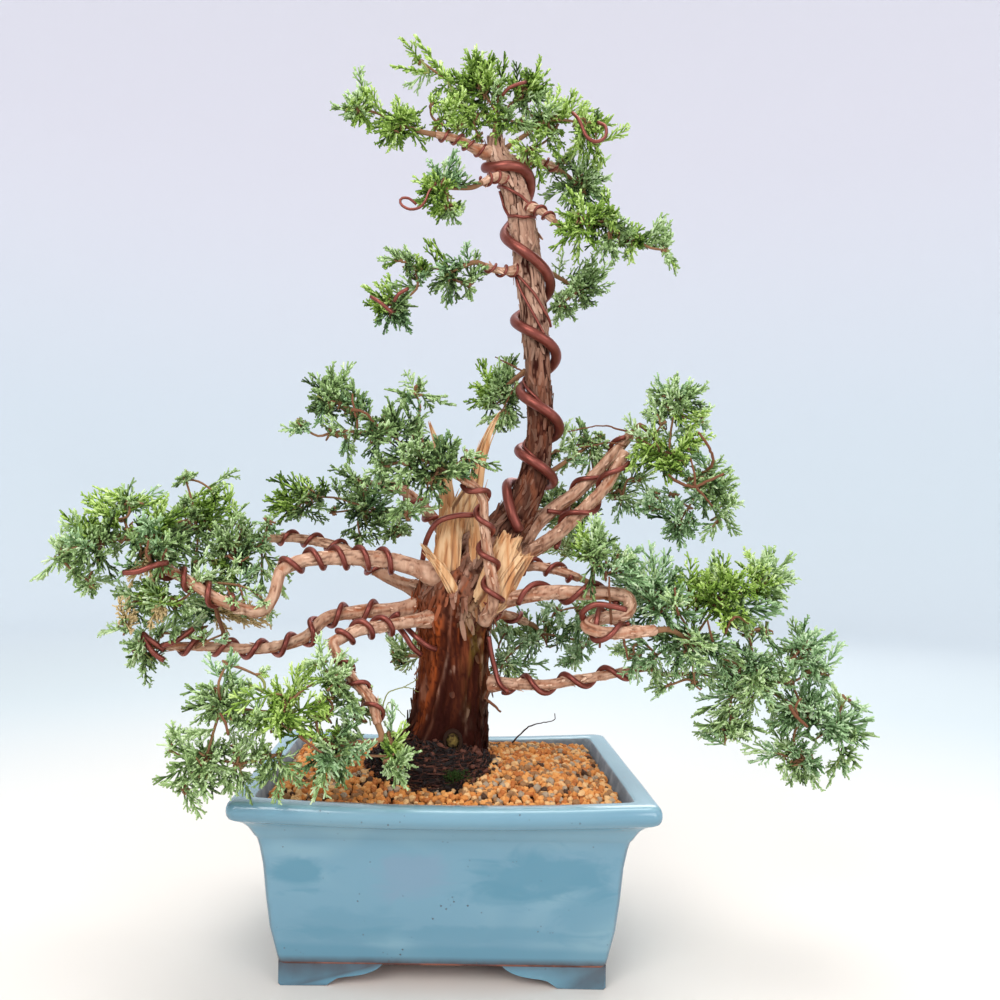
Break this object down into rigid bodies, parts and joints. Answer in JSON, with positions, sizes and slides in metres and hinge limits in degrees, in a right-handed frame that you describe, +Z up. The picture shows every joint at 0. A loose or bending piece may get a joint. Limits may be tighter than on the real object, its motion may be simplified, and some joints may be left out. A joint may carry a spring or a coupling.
{
  "type": "potted bonsai tree",
  "caption": "Juniper bonsai with a wired slender leader, torn deadwood and separate pads of scale foliage, in a footed rectangular glazed pot.",
  "frame": {"origin": "under the middle of the whole plant's box, on the surface the pot's feet stand on", "axes": "+Z up along the leader, +X to the right across the pot's long side as seen from the front, +Y to the back"},
  "size_m": [0.5908, 0.2704, 0.698],
  "materials": {
    "pot_glaze": "glossy pale blue glaze over brown clay",
    "soil": "dry orange clay granules",
    "roots": "dark fibrous root mat",
    "bark": "reddish brown bark, flaky above and dark at the foot",
    "bough_bark": "pinkish brown stripped bark",
    "deadwood": "torn pale dry wood",
    "wire": "brown anodised training wire, satin",
    "foliage": "blue-green scale foliage",
    "foliage_fresh": "fresh yellow-green scale foliage"
  },
  "bodies": {
    "root": {"pot": "pot_glaze", "soil": "soil", "root_mat": "roots", "trunk": "bark", "deadwood_spike": "deadwood", "deadwood_rear_spike": "deadwood", "deadwood_stub": "deadwood", "deadwood_shard": "deadwood", "deadwood_inner": "deadwood", "bough_left_main": "bough_bark", "bough_left_return": "bough_bark", "bough_left_rear": "bough_bark", "bough_left_low": "bough_bark", "bough_front_low": "bough_bark", "bough_front_drop": "bough_bark", "bough_up_front": "bough_bark", "bough_left_mid": "bough_bark", "bough_right_lower_arm": "bough_bark", "bough_right_upper_arm": "bough_bark", "bough_right_mid": "bough_bark", "bough_right_main": "bough_bark", "bough_right_hook": "bough_bark", "bough_right_rear_low": "bough_bark", "bough_right_lowest": "bough_bark", "bough_top_left": "bough_bark", "bough_upper_left": "bough_bark", "bough_top_right_rear": "bough_bark", "bough_upper_right": "bough_bark", "bough_mid_left": "bough_bark", "wire_trunk": "wire", "wire_left_main": "wire", "wire_left_return": "wire", "wire_left_low": "wire", "wire_front_low": "wire", "wire_right_lower_arm": "wire", "wire_right_main": "wire", "wire_right_lowest": "wire", "foliage_apex_top": "foliage_fresh", "foliage_apex_right": "foliage_fresh", "foliage_top_left": "foliage_fresh", "foliage_upper_left": "foliage", "foliage_top_right_rear": "foliage", "foliage_upper_right": "foliage_fresh", "foliage_mid_left": "foliage", "foliage_mid_right": "foliage", "foliage_leader_rear": "foliage", "foliage_upper_front": "foliage", "foliage_left_mid": "foliage", "foliage_left_outer": "foliage", "foliage_left_inner": "foliage", "foliage_left_low": "foliage", "foliage_front_low": "foliage", "foliage_rear_low_left": "foliage", "foliage_right_crown": "foliage", "foliage_right_inner": "foliage", "foliage_right_rear": "foliage", "foliage_right_front": "foliage", "foliage_right_rear_low": "foliage", "foliage_right_far": "foliage", "foliage_right_big": "foliage"}
  },
  "joints": []
}
